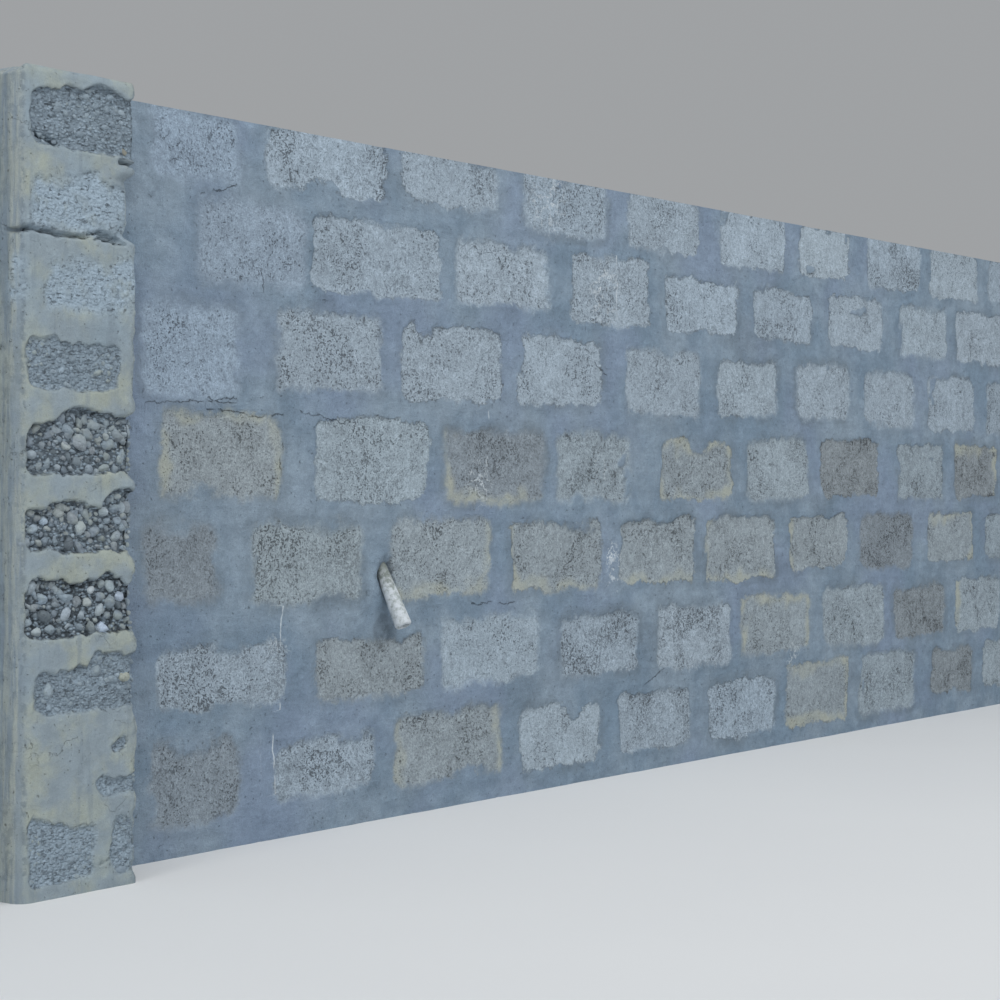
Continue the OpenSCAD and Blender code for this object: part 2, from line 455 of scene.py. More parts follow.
class Panel:
    """Both faces of one bay on one grid, cut into the courses and the beds between them."""

    def __init__(self, side, cell, front_words, seed):
        self.side, self.step = side, 2
        low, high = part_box(f"{side}_bay_course_1")
        self.left, self.front_y, self.back_y = low.x, low.y, high.y
        length = high.x - low.x
        self.columns = 2 * round(length / cell / 2)
        self.xs = np.linspace(0, length, self.columns + 1)
        self.layers = [("bed", 0.0, low.z)]
        for course in range(1, COURSES + 1):
            bottom, top = (c.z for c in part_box(f"{side}_bay_course_{course}"))
            self.layers.append((course, bottom, top))
            if course < COURSES:
                self.layers.append(("bed", top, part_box(f"{side}_bay_course_{course + 1}")[0].z))
        rows, zs = [0], [0.0]
        for _, bottom, top in self.layers:
            count = 2 * max(1, round((top - bottom) / cell / 2))
            zs += list(np.linspace(bottom, top, count + 1)[1:])
            rows.append(rows[-1] + count)
        self.rows, self.zs = rows, np.array(zs)
        rng = np.random.default_rng(seed)
        blocks = self.lay(length, front_words, rng)
        self.front = panel_face(self.xs, self.zs, blocks, seed * 100)
        back_blocks = self.lay(length, None, rng)
        self.back = panel_face(self.xs, self.zs, back_blocks, seed * 100 + 5000)
        self.back["height"] = np.minimum(self.back["height"], -0.0002)
        for face, way in ((self.front, -1.0), (self.back, 1.0)):
            rise_z, rise_x = np.gradient(face["height"], self.zs, self.xs)
            slopes = np.dstack([-rise_x, np.full_like(rise_x, way), -rise_z])
            face["normal"] = slopes / np.linalg.norm(slopes, axis=2)[..., None]

    def lay(self, length, words_by_course, rng):
        blocks = []
        for course, low, high in self.layers:
            if course == "bed":
                continue
            if words_by_course:
                for row in words_by_course[course]:
                    blocks.append(Block(*(edge / 1000 for edge in row[:4]), row[4], rng, measured=True))
                continue
            names = TOP_TONES if course > 4 else LOW_TONES
            words = [f"{rng.choice(names)}/{rng.choice(PALE_SETS)}/{rng.choice(BITE_SETS)}"
                     for _ in range(12)]
            words = [w if course < 5 else w.split("/")[0] + "//" + w.split("/")[2] for w in words]
            blocks += lay_course(course, low, high, length, words, rng)
        return blocks

    def slab(self, first, last, crown=False):
        """Vertices, faces and layers of the closed slab between two grid rows."""
        s, nx = self.step, self.columns + 1
        rows = np.arange(first, last + 1)
        back_rows, back_columns = rows[::s], np.arange(0, nx, s)
        front = np.dstack([self.left + self.front["x"][rows],
                           self.front_y - self.front["height"][rows], self.front["z"][rows]])
        pick = np.ix_(back_rows, back_columns)
        back = np.dstack([self.left + self.back["x"][pick],
                          self.back_y + self.back["height"][pick], self.back["z"][pick]])
        nb = len(back_columns)
        f = np.arange(len(rows) * nx).reshape(len(rows), nx)
        b = np.arange(len(back_rows) * nb).reshape(len(back_rows), nb) + f.size
        quads = [grid_quads(f), grid_quads(b)[:, [0, 3, 2, 1]]]
        verts = [front.reshape(-1, 3), back.reshape(-1, 3)]
        layers = {}
        for name, key in PAINTED.items():
            parts = [self.front[key][rows], self.back[key][pick]]
            layers[name] = [p.reshape(-1, *p.shape[2:]) for p in parts]
        edge, edge_row = f[-1], b[-1]
        rims = []
        if crown:
            inner = self.crown_rows(f.size + b.size, edge_row, verts, quads, layers)
            edge_row = inner
        for i in range(nb - 1):
            a = i * s
            rims.append([f[0, a], b[0, i], b[0, i + 1]] + [f[0, a + k] for k in range(s, 0, -1)])
            rims.append([edge[a + k] for k in range(s + 1)] + [edge_row[i + 1], edge_row[i]])
        for j in range(len(back_rows) - 1):
            a = j * s
            rims.append([f[a + k, 0] for k in range(s + 1)] + [b[j + 1, 0], b[j, 0]])
            rims.append([f[a, -1], b[j, -1], b[j + 1, -1]] + [f[a + k, -1] for k in range(s, 0, -1)])
        if crown:
            self.close_crown_ends(f, b, rims)
        layers = {name: np.concatenate(parts) for name, parts in layers.items()}
        if crown:
            layers["normal"][-self.crown_ids.size:] = (0.0, 0.0, 1.0)
        return np.concatenate(verts), np.concatenate(quads), rims, layers

    def crown_rows(self, first_index, back_edge, verts, quads, layers):
        """The panel's top: a grid from just behind the front edge to the back edge."""
        s = self.step
        xs = self.xs[::s]
        depth_rows = 14
        ys = np.linspace(self.front_y, self.back_y, depth_rows + 1)[1:-1]
        x, y = np.meshgrid(xs, ys)
        top = self.zs[-1]
        dip = 0.0006 + 0.0012 * (1 + rough(x, y, 0.03, 901 + len(self.side))) / 2
        grid = np.dstack([self.left + x, y, top - dip])
        ids = np.arange(x.size).reshape(x.shape) + first_index
        full = np.vstack([ids, back_edge[None, :]])
        quads.append(grid_quads(full))
        verts.append(grid.reshape(-1, 3))
        for name, key in PAINTED.items():
            line = self.front[key][-1][::s]
            spread = np.broadcast_to(line, (len(ys),) + line.shape)
            layers[name].append(spread.reshape(-1, *line.shape[1:]))
        self.crown_ids = ids
        return ids[0]

    def close_crown_ends(self, f, b, rims):
        ids = self.crown_ids
        rims.append([f[-1, 0]] + list(ids[:, 0]) + [b[-1, 0]])
        rims.append([f[-1, -1], b[-1, -1]] + list(ids[::-1, -1]))

    def mark_right_front(self):
        """Cracks, lime runs and the hole of the pipe on the front that is seen most."""
        f = self.front
        for run in LIME_RUNS:
            draw_line(f["drip"], run, f["x"], f["z"], upright=True)
        for split in LEVEL_CRACKS:
            draw_line(f["crack"], split, f["x"], f["z"])
        for split in UPRIGHT_CRACKS:
            draw_line(f["crack"], split, f["x"], f["z"], upright=True)
        # The pipe's hole, with mortar pressed round it and a stain below its mouth
        low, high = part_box(f"{self.side}_bay_weep_pipe")
        px, pz = (low.x + high.x) / 2 - self.left, 0.520
        away = np.hypot((f["x"] - px) * 1.3, (f["z"] - pz) * 0.85) + 0.006 * rough(f["x"], f["z"], 0.02, 91)
        f["height"] -= 0.016 * ease(0.030 - away, 0, 0.012)
        f["height"] += 0.0040 * np.exp(-((away - 0.042) / 0.012) ** 2)
        below = np.hypot((f["x"] - px) * 1.4, (f["z"] - low.z + 0.012) * 1.2)
        stain = np.maximum(1.6 * ease(0.044 - away, 0, 0.03), 0.8 * ease(0.060 - below, 0, 0.05))
        f["damp"] = np.maximum(f["damp"], 1 + stain) * (stain > 0.02) + f["damp"] * (stain <= 0.02)
        for x, z, size, lime in LIME_SPOTS:
            spot = ease(size - np.hypot(f["x"] - x, (f["z"] - z) * 0.8), 0, size * 0.8)
            f["marks"][..., 3] = np.maximum(f["marks"][..., 3], lime * spot)

    def build(self, material):
        beds = []
        for (kind, _, _), first, last in zip(self.layers, self.rows[:-1], self.rows[1:]):
            if kind == "bed":
                beds.append(self.slab(first, last))
                continue
            shape = self.slab(first, last, crown=kind == COURSES)
            name, node = f"{self.side}_bay_blocks_{kind}", f"{self.side}_bay_course_{kind}"
            place_piece(name, shape, material, node)
        place_piece(f"{self.side}_bay_beds", joined(beds), material, f"{self.side}_bay_mortar_beds")


# Lines as points in metres, from the panel's left end and the ground
LIME_RUNS = [((0.518, 0.476), (0.510, 0.40), (0.506, 0.256)), ((0.488, 0.221), (0.494, 0.089)),
             ((1.191, 0.90), (1.187, 0.68)), ((1.70, 1.28), (1.703, 1.12))]
LEVEL_CRACKS = [((0.139, 0.872), (0.216, 0.873), (0.392, 0.887)),
                ((0.296, 0.862), (0.392, 0.859), (0.454, 0.851), (0.521, 0.858)),
                ((0.565, 0.863), (0.641, 0.853), (0.718, 0.846)),
                ((0.283, 1.276), (0.351, 1.297), (0.393, 1.307)),
                ((1.524, 1.044), (1.586, 1.035), (1.62, 0.997), (1.662, 0.982)),
                ((1.05, 0.337), (1.09, 0.337)), ((1.80, 0.203), (1.915, 0.25)),
                ((1.122, 0.449), (1.307, 0.441)), ((1.19, 1.240), (1.235, 1.236))]
UPRIGHT_CRACKS = [((0.530, 0.83), (0.509, 0.775), (0.512, 0.725)), ((0.455, 1.15), (0.460, 1.10))]
# Lime blots: across, up, radius, strength
LIME_SPOTS = [(1.649, 1.18, 0.085, 1.0), (1.70, 0.50, 0.055, 1.0), (1.68, 0.54, 0.04, 1.0),
              (1.628, 0.74, 0.045, 1.0), (1.16, 0.72, 0.060, 0.9), (1.42, 1.38, 0.10, 0.7),
              (0.51, 0.40, 0.05, 0.5), (2.56, 0.235, 0.05, 0.6)]
# Sides with pale render and sides bitten into, to draw from for blocks laid by rule
PALE_SETS = ["", "", "", "l", "b", "lt", "rb", "ltr"]
BITE_SETS = ["", "", "", "l", "t", "r", "b", "tl"]


# Sums on sockets or numbers, each of them one node
def times(tree, a, b, clamp=False):
    return put(tree, "ShaderNodeMath", {0: a, 1: b}, operation="MULTIPLY", use_clamp=clamp).outputs[0]


def plus(tree, a, b):
    return put(tree, "ShaderNodeMath", {0: a, 1: b}, operation="ADD").outputs[0]


def less(tree, a, b, clamp=False):
    return put(tree, "ShaderNodeMath", {0: a, 1: b}, operation="SUBTRACT", use_clamp=clamp).outputs[0]


def most(tree, a, b):
    return put(tree, "ShaderNodeMath", {0: a, 1: b}, operation="MAXIMUM").outputs[0]


def least(tree, a, b):
    return put(tree, "ShaderNodeMath", {0: a, 1: b}, operation="MINIMUM").outputs[0]


def scaled(tree, value, gain, base):
    """gain times the value, plus the base."""
    inputs = {0: value, 1: gain, 2: base}
    return put(tree, "ShaderNodeMath", inputs, operation="MULTIPLY_ADD").outputs[0]


def grain(tree, where, scale, detail=2.0, roughness=0.5):
    """Cloudy pattern from 0 to 1, with features about 1/scale metres across."""
    inputs = {"Vector": where, "Scale": scale, "Detail": detail, "Roughness": roughness}
    return put(tree, "ShaderNodeTexNoise", inputs).outputs["Fac"]


def fade(tree, value, low, high):
    """0 below low, 1 above high."""
    inputs = {"Value": value, "From Min": low, "From Max": high}
    return put(tree, "ShaderNodeMapRange", inputs, interpolation_type="SMOOTHSTEP").outputs[0]


def cover(tree, amount, under, over, mode="MIX"):
    """Lays one colour over another."""
    inputs = {"Factor": amount, "A": under, "B": over}
    node = put(tree, "ShaderNodeMix", inputs, data_type="RGBA", blend_type=mode)
    return node.outputs["Result"]


def shade(tree, colour, amount):
    """Multiplies a colour by a brightness."""
    grey = put(tree, "ShaderNodeCombineColor", {0: amount, 1: amount, 2: amount}).outputs[0]
    return cover(tree, 1.0, colour, grey, "MULTIPLY")


def vary(tree, colour, value, gain, base):
    """Multiplies a colour by gain times the value, plus the base."""
    return shade(tree, colour, scaled(tree, value, gain, base))


def thin_line(tree, value, inner, outer):
    """1 where the value is 0, and 0 once it is further from 0 than outer."""
    away = put(tree, "ShaderNodeMath", {0: value}, operation="ABSOLUTE").outputs[0]
    return less(tree, 1.0, fade(tree, away, inner, outer))


def stretch(tree, where, scale, turn=0.0):
    """The place scaled along each direction, for patterns that are longer one way."""
    inputs = {"Vector": where, "Rotation": (0.0, turn, 0.0), "Scale": scale}
    return put(tree, "ShaderNodeMapping", inputs).outputs[0]


def layer(tree, name):
    """Reads a paint layer: its value or colour, and its fourth channel."""
    node = put(tree, "ShaderNodeAttribute", attribute_name=name)
    return node.outputs["Fac"], node.outputs["Color"], node.outputs["Alpha"]


def start_material(name):
    """A new material, its node tree and the place on the piece, for patterns to use."""
    material = bpy.data.materials.new(name)
    material.use_nodes = True
    tree = material.node_tree
    return material, tree, put(tree, "ShaderNodeTexCoord").outputs["Object"]


def end_material(material, skin, relief, roughness, gloss):
    """Gives the material its colour, its relief in metres and its finish."""
    tree = material.node_tree
    shader = tree.nodes["Principled BSDF"]
    bump = put(tree, "ShaderNodeBump", {"Height": relief, "Strength": 1.0, "Distance": 1.0})
    tree.links.new(skin, shader.inputs["Base Color"])
    tree.links.new(bump.outputs[0], shader.inputs["Normal"])
    shader.inputs["Roughness"].default_value = roughness
    shader.inputs["Specular IOR Level"].default_value = gloss
    return material


def blockwork_material():
    """Concrete block and the mortar smeared over it, told apart by the bare_depth layer."""
    material, t, here = start_material("smeared_blockwork")
    depth = layer(t, "bare_depth")[0]
    _, tint, pits = layer(t, "block_tint")
    _, marks, lime = layer(t, "block_marks")
    damp = layer(t, "damp")[0]
    split = put(t, "ShaderNodeSeparateColor", {0: marks})
    cream, soft, halo = split.outputs[0], split.outputs[1], split.outputs[2]

    ragged = times(t, less(t, grain(t, here, 62.0, 5.0, 0.75), 0.5), 0.044)
    edge = plus(t, depth, ragged)
    width = scaled(t, soft, 0.018, 0.0015)
    bare = fade(t, edge, times(t, width, -1.0), width)

    # Pits: small ones in clusters, and a few larger hollows
    cluster = grain(t, here, 13.0, 3.0, 0.6)
    wanted = scaled(t, cluster, -0.36, 0.858)
    wanted = scaled(t, pits, -0.110, wanted)
    wanted = scaled(t, cream, 0.06, wanted)
    small = fade(t, grain(t, here, 250.0, 1.0, 0.5), wanted, plus(t, wanted, 0.08))
    large = fade(t, grain(t, here, 110.0, 2.5, 0.6), plus(t, wanted, 0.020), plus(t, wanted, 0.075))
    worn = fade(t, grain(t, here, 8.5, 3.0, 0.55), 0.40, 0.58)
    pit = times(t, most(t, small, large), scaled(t, worn, 0.55, 0.45))
    pit = times(t, pit, fade(t, edge, 0.0, scaled(t, soft, 0.014, 0.002)))
    crumb = grain(t, here, 310.0, 3.0, 0.65)
    mottle = grain(t, here, 38.0, 3.0, 0.6)

    stone = vary(t, tint, grain(t, here, 8.0, 3.0), 0.26, 0.87)
    stone = vary(t, stone, mottle, 0.62, 0.69)
    stone = vary(t, stone, worn, -0.07, 1.04)
    stone = vary(t, stone, crumb, 1.15, 0.49)
    grit = grain(t, here, 115.0, 4.0, 0.75)
    stone = vary(t, stone, grit, 1.10, 0.48)
    cream_tone = cover(t, grain(t, here, 22.0, 3.0), paint("#a0a8a3"), paint("#aaac9d"))
    cream_tone = vary(t, cream_tone, crumb, 0.45, 0.78)
    stone = cover(t, times(t, cream, 0.85), stone, cream_tone)
    stone = vary(t, stone, pit, -0.58, 1.0)

    streak = grain(t, stretch(t, here, (7.0, 7.0, 34.0)), 1.0, 4.0, 0.62)
    mortar = cover(t, fade(t, grain(t, here, 4.0, 4.0, 0.6), 0.36, 0.64), paint("#738697"), paint("#8292a0"))
    mortar = cover(t, times(t, fade(t, grain(t, here, 2.6, 3.0), 0.46, 0.66), 0.75), mortar, paint("#7a8a9f"))
    mortar = vary(t, mortar, streak, 0.30, 0.85)
    mortar = vary(t, mortar, mottle, 0.42, 0.79)
    sand = grain(t, here, 520.0, 3.0, 0.6)
    mortar = vary(t, mortar, sand, 0.80, 0.61)
    fleck = fade(t, grain(t, here, 120.0, 3.0, 0.6), 0.645, 0.72)
    mortar = vary(t, mortar, fleck, -0.34, 1.0)
    mortar = vary(t, mortar, grit, 0.42, 0.80)
    mortar = vary(t, mortar, grain(t, here, 16.0, 4.0, 0.62), 0.40, 0.80)
    ring = times(t, fade(t, edge, -0.034, -0.006), halo)
    ring = times(t, ring, fade(t, grain(t, here, 11.0, 2.0), 0.36, 0.60))
    mortar = cover(t, times(t, ring, 0.60), mortar, paint("#68757f"))
    # The damp layer darkens the mortar: damp patches, and painted shade next to the pier
    mortar = vary(t, mortar, least(t, damp, 1.0), -0.24, 1.0)

    # A thin painted shadow just inside the edge of each bare face, where the mortar's edge stands over the
    # block
    edge_shadow = thin_line(t, less(t, edge, 0.0012), 0.0004, 0.0024)
    edge_shadow = times(t, edge_shadow, fade(t, grain(t, here, 17.0, 3.0), 0.50, 0.62))
    edge_shadow = times(t, edge_shadow, less(t, 1.0, soft, clamp=True))
    skin = vary(t, cover(t, bare, mortar, stone), edge_shadow, -0.38, 1.0)
    stain = most(t, less(t, damp, 1.0), 0.0)
    stain = times(t, stain, fade(t, grain(t, here, 50.0, 4.0, 0.65), 0.34, 0.60))
    skin = vary(t, skin, stain, -0.42, 1.0)
    crack, drip = layer(t, "crack")[0], layer(t, "drip")[0]
    wander = scaled(t, grain(t, here, 55.0, 5.0, 0.7), 0.028, -0.014)
    line = thin_line(t, plus(t, crack, wander), 0.0002, 0.0014)
    line = times(t, line, fade(t, grain(t, here, 28.0, 2.0), 0.38, 0.52))
    skin = vary(t, skin, line, -0.55, 1.0)
    run = thin_line(t, scaled(t, wander, 0.3, drip), 0.0005, 0.0026)
    run = times(t, run, fade(t, grain(t, here, 19.0, 3.0), 0.42, 0.58))
    blotch = fade(t, grain(t, here, 46.0, 5.0, 0.72), 0.56, 0.62)
    scratch = thin_line(t, less(t, grain(t, here, 17.0, 4.0, 0.6), 0.5), 0.004, 0.015)
    scratch = most(t, scratch, times(t, blotch, 0.7))
    lime_all = most(t, times(t, run, 0.85), times(t, scratch, lime))
    skin = cover(t, lime_all, skin, paint("#c9d2d8"))

    relief = scaled(t, grit, 0.0030, times(t, pit, -0.0030))
    relief = scaled(t, crumb, 0.0018, relief)
    relief = scaled(t, mottle, 0.0030, relief)
    film = scaled(t, streak, 0.0032, times(t, sand, 0.0012))
    film = scaled(t, mottle, 0.0045, film)
    film = scaled(t, fleck, -0.0016, film)
    film = plus(t, film, 0.0012)
    height = put(t, "ShaderNodeMix", {"Factor": bare, "A": film, "B": relief}, data_type="FLOAT")
    height = scaled(t, line, -0.0025, height.outputs["Result"])
    return end_material(material, skin, height, 0.92, 0.25)


blockwork = blockwork_material()
right_bay = Panel("right", 0.0070, RIGHT_FRONT, 3)
left_bay = Panel("left", 0.0120, None, 8)
right_bay.mark_right_front()
right_bay.build(blockwork)
left_bay.build(blockwork)

# ---------------------------------------------------------------------------
# Piers. Ten rough cast slabs on beds of pale mortar, which was drawn over
# their edges as well. The weather has washed the cement out of some slabs,
# so rounded gravel stands out between the smooth bands.
# ---------------------------------------------------------------------------
# Bare patches of each slab (left, right, low and high in mm from the slab's lower left
# corner), how deep it has worn, the size of its stones and how far its right end stands back.
MIDDLE_FRONT = {
    10: ([(30, 300, 5, 106), (96, 300, 60, 120)], 5.5, 5.4, 1),
    9: ([(24, 276, 4, 92), (60, 200, 60, 104)], 1.2, 2.0, 27),
    8: ([(62, 300, 14, 100), (-24, 16, 24, 98), (120, 300, 60, 108)], 0.6, 2.0, 1),
    7: ([(16, 232, 16, 104)], 3.0, 4.6, 3),
    6: ([(20, 300, 8, 102), (84, 300, 60, 116)], 8.5, 6.2, 13),
    5: ([(14, 300, 18, 96), (60, 160, 60, 106), (196, 300, 60, 118)], 8.5, 6.4, 12),
    4: ([(8, 300, 16, 106), (30, 120, 60, 114)], 9.5, 8.2, 7),
    3: ([(40, 300, 26, 104), (150, 300, 60, 120)], 3.6, 5.0, 6),
    2: ([(182, 300, 14, 50), (208, 262, 97, 114)], 2.6, 4.5, 2),
    1: ([(12, 172, 8, 112), (212, 266, 6, 114)], 2.4, 4.8, 5),
}
# Slabs with plain broken stone in the colour of their cement; the others show mixed pebbles
PLAIN_STONE = (10, 7, 3, 2, 1)
STONE_TONES = [paint(code)[:3] for code in ("#84929d", "#74818c", "#8d99a2", "#7e8a95", "#939c9e",
                                            "#69747c", "#848d94")]
# Colour of the cement in the slabs
SLAB_TONE = paint("#7f8e9a")[:3]


def ball_shell(cuts):
    """A ball as a cube swelled round: points on the unit ball, and quads."""
    side = np.tan(np.linspace(-math.pi / 4, math.pi / 4, cuts + 1))
    a, b = np.meshgrid(side, side)
    one = np.ones_like(a)
    sheets = [(a, b, one), (b, a, -one), (one, a, b), (-one, b, a), (b, one, a), (a, -one, b)]
    points, quads = [], []
    n = cuts + 1
    corner = np.arange(n * n).reshape(n, n)
    for k, sheet in enumerate(sheets):
        grid = np.stack(sheet, -1).reshape(-1, 3)
        points.append(grid / np.linalg.norm(grid, axis=1)[:, None])
        quads.append(grid_quads(corner) + k * n * n)
    points, quads = np.concatenate(points), np.concatenate(quads)
    _, first, same = np.unique(np.round(points, 5), axis=0, return_index=True, return_inverse=True)
    return points[first], same.reshape(-1)[quads]


def stone_shape(shell, rng, size, sharp):
    """One pebble: an egg with a few flats and dents, lying mostly on its side."""
    points = shell.copy()
    for _ in range(7):
        way = rng.normal(size=3)
        way /= np.linalg.norm(way)
        reach = points @ way
        points -= np.outer(np.maximum(reach - rng.uniform(0.45, 0.85), 0) * sharp, way)
    points *= np.array([rng.uniform(0.95, 1.30), rng.uniform(0.65, 0.9), rng.uniform(0.7, 1.05)]) * size
    turn = rng.normal(0.2, 0.5)
    spin = np.array([[math.cos(turn), 0, math.sin(turn)], [0, 1, 0], [-math.sin(turn), 0, math.cos(turn)]])
    return points @ spin.T


class Pier:
    """One pier as a skin wound round its plan: along it runs from minus half the width on the
    left flank, over the front, to the right flank and the back."""

    def __init__(self, side, cell, arrises, free_sides, wear, seed):
        self.side, self.wear, self.seed = side, wear, seed
        self.rng = np.random.default_rng(seed)
        low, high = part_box(f"{side}_pier_slabs")
        self.half, self.deep = (high.x - low.x) / 2, high.y - low.y
        self.middle, self.front, self.back = (low.x + high.x) / 2, low.y, high.y
        panel_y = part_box("right_bay_course_1")[0].y
        self.layers = self.find_layers()
        zs, self.rows = [0.0], [0]
        for _, bottom, top in self.layers:
            count = max(3, round((top - bottom) / cell))
            zs += list(np.linspace(bottom, top, count + 1)[1:])
            self.rows.append(self.rows[-1] + count)
        self.zs = np.array(zs)
        self.wind(cell, arrises, free_sides, panel_y)
        self.carve()

    def find_layers(self):
        """Bed, slab, bed, slab, up to the cap, from the heights of the CAD nodes."""
        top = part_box(f"{self.side}_pier_mortar_cap")[0].z
        slabs_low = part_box(f"{self.side}_pier_slabs")[0].z
        pitch = (top - slabs_low + PIER_BED) / 10
        layers = [("bed", 0.0, slabs_low)]
        for n in range(1, 11):
            bottom = slabs_low + (n - 1) * pitch
            layers.append((n, bottom, bottom + pitch - PIER_BED))
            if n < 10:
                layers.append(("bed", bottom + pitch - PIER_BED, bottom + pitch))
        layers.append(("cap", top, wall_h))
        return layers

    def wind(self, cell, arrises, free_sides, panel_y):
        """Lists the points of the plan with the way out of the pier at each."""
        w, yf, yb = self.half, self.front, self.back
        left_r, right_r = arrises
        points = []

        def straight(a, b, step, facing, along_a, along_b, shown):
            count = max(1, round(math.dist(a, b) / step))
            for k in range(count):
                t = k / count
                points.append((a[0] + (b[0] - a[0]) * t, a[1] + (b[1] - a[1]) * t, *facing,
                               along_a + (along_b - along_a) * t, shown))

        def bend(x, y, radius, start, along):
            count = max(5, round(1.57 * radius / cell))
            for k in range(count):
                t = k / count
                angle = math.radians(start + 90 * t)
                points.append((x + radius * math.cos(angle), y + radius * math.sin(angle), math.cos(angle),
                               math.sin(angle), along + (2 * t - 1) * radius, 1.0))

        depth, seat = yb - yf, panel_y - yf
        left_free, right_free = "l" in free_sides, "r" in free_sides
        left_step, right_step = (cell * 3 if free else 0.03 for free in (left_free, right_free))
        straight((-w, yb), (-w, panel_y), left_step, (-1, 0), -w - depth, -w - seat, float(left_free))
        straight((-w, panel_y), (-w, yf + left_r), cell * 1.8, (-1, 0), -w - seat, -w - left_r, 1.0)
        bend(-w + left_r, yf + left_r, left_r, 180, -w)
        straight((-w + left_r, yf), (w - right_r, yf), cell, (0, -1), -w + left_r, w - right_r, 1.0)
        bend(w - right_r, yf + right_r, right_r, 270, w)
        straight((w, yf + right_r), (w, panel_y), cell * 1.8, (1, 0), w + right_r, w + seat, 1.0)
        straight((w, panel_y), (w, yb), right_step, (1, 0), w + seat, w + depth, float(right_free))
        straight((w, yb), (-w, yb), cell * 3, (0, 1), w + depth, 3 * w + depth, 0.5)
        self.plan = np.array(points)

    def carve(self):
        """Works out how far the surface stands in from the plan, and the paint layers."""
        along, z = np.meshgrid(self.plan[:, 4], self.zs)
        shown = np.broadcast_to(self.plan[:, 5], along.shape)
        seed, w = self.seed * 70, self.half
        wx = along + 0.012 * rough(along, z, 0.06, seed) + 0.004 * rough(along, z, 0.016, seed + 3)
        wz = z + 0.010 * rough(along, z, 0.07, seed + 7) + 0.004 * rough(along, z, 0.018, seed + 11)
        depth = np.full(along.shape, -0.03)
        worn, setback = np.zeros(along.shape), np.zeros(along.shape)
        pits = np.full(along.shape, 0.5)
        lip = np.zeros(along.shape)
        self.patches = []
        for number, bottom, top in self.layers:
            if not isinstance(number, int):
                continue
            plain_stone = self.side == "middle" and number in PLAIN_STONE
            patches, deep, stone, back = self.wear[number]
            flat = [(a, b, c, d, 0) for a, b, c, d in patches]
            flat += [(a, b, c, d, 1) for a, b, c, d in self.side_patches(self.rng)]
            for a, b, c, d, plain in flat:
                box = (-w + a / 1000, -w + b / 1000, bottom + c / 1000, bottom + d / 1000)
                sway = 0.009 * wave(along, along * 0, 0.055, seed + number)
                sway += 0.004 * wave(along, z * 0, 0.02, seed + 30 * number)
                inside = round_box(wx, wz - sway * ease(wz - bottom, 0.01, 0.05), *box, 0.020)
                wear_here = deep if not plain else self.rng.uniform(0.5, 2.5)
                better = inside > depth
                worn = np.where(better, wear_here / 1000, worn)
                pits = np.where(better, 0.5 + 0.05 * wear_here, pits)
                under = np.exp(-((box[3] - wz - 0.0025) / 0.0032) ** 2) * ease(wx - box[0], 0, 0.03)
                lip = np.where(better, under * (inside > -0.004) * (wear_here > 1.0), lip)
                depth = np.maximum(depth, inside)
                if not plain:
                    self.patches.append((box, deep, stone, plain_stone))
            inner = ease(z - bottom, -0.006, 0.012) * ease(top - z, -0.006, 0.012)
            reach = ease(along - (w - 0.075), 0, 0.075) * ease(w + 0.115 - along, 0, 0.07)
            round_end = 0.55 + 0.45 * np.abs((z - bottom) / (top - bottom) * 2 - 1) ** 2
            setback = np.maximum(setback, back / 1000 * reach * inner * (round_end if back > 12 else 1))
        bare = ease(depth, -0.0025, 0.0035)
        band = 0.0014 + 0.0014 * rough(along, z, 0.10, seed + 21)
        band += 0.0007 * rough(along, z / 4, 0.02, seed + 25)
        band += 0.0006 * rough(along, z, 0.02, seed + 27)
        crumb = 0.0011 * rough(along, z, 0.014, seed + 31, 3)
        gnaw = ease(wave(along, z, 0.010, seed + 35), 0.25, 0.9) * 0.45 * worn
        cut = lip * (0.002 + 0.5 * worn) * ease(rough(along, z, 0.05, seed + 41), -0.5, 0.2)
        step = np.minimum(0.0026, 0.0006 + worn)
        inward = band * (1 - bare) + (step + worn + crumb + gnaw + cut) * bare
        bites = 0.0030 + 0.0050 * rough(along * 0, z, 0.045, seed + 45)
        bites += 0.0040 * rough(along, z, 0.014, seed + 47)
        edge_bite = np.exp(-((along - w) / 0.010) ** 2) * bites
        inward = np.maximum(inward, 0.0004) + np.maximum(edge_bite, 0)
        for points, width, deepest in GROOVES.get(self.side, ()):
            xs, zs = np.array(points).T / 1000
            miss = np.abs(z - np.interp(along, xs - w, zs) + 0.0022 * wave(along, z * 0, 0.012, 5))
            swell = 0.6 + 0.6 * wave(along, z * 0, 0.03, 9)
            ends = ease(along + w - xs[0], 0, 0.01) * ease(xs[-1] - along - w, 0, 0.01)
            inward = inward + deepest * np.exp(-(miss / (width * swell)) ** 2) * ends
        hidden = shown < 0.25
        back = (shown > 0.25) & (shown < 0.75)
        inward = np.where(back, 0.0004 + 0.35 * inward, inward)
        near_wall = ease(np.abs(self.plan[:, 1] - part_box("right_bay_course_1")[0].y), 0.0, 0.012)
        on_flank = (np.abs(self.plan[:, 2]) > 0.9) & (shown[0] > 0.75)
        inward = inward * np.where(on_flank, 0.25 + 0.75 * near_wall, 1.0)
        self.inward = np.where(hidden, 0.0, inward)
        self.setback = setback
        flank = ease(np.abs(along), w - 0.02, w + 0.006) * (along < w + self.deep)
        bright = 1.16 - 0.22 * ease(worn, 0.001, 0.004) + 0.07 * ease(worn, 0.003, 0.008)
        bright += 0.05 * wave(z * 0, z, 0.14, seed + 51)
        stone = np.array(SLAB_TONE) * bright[..., None]
        grid = self.ring_points(0, len(self.zs) - 1)
        wrapped = np.concatenate([grid[:, -1:], grid, grid[:, :1]], axis=1)
        normal = np.cross(wrapped[:, 2:] - wrapped[:, :-2], np.gradient(grid, axis=0))
        self.paint_layers = {
            "normal": normal / np.linalg.norm(normal, axis=2)[..., None],
            "bare_depth": depth,
            "block_tint": np.dstack([stone, pits]),
            "block_marks": np.dstack([worn * 100, np.zeros(along.shape), flank, np.zeros(along.shape)]),
        }

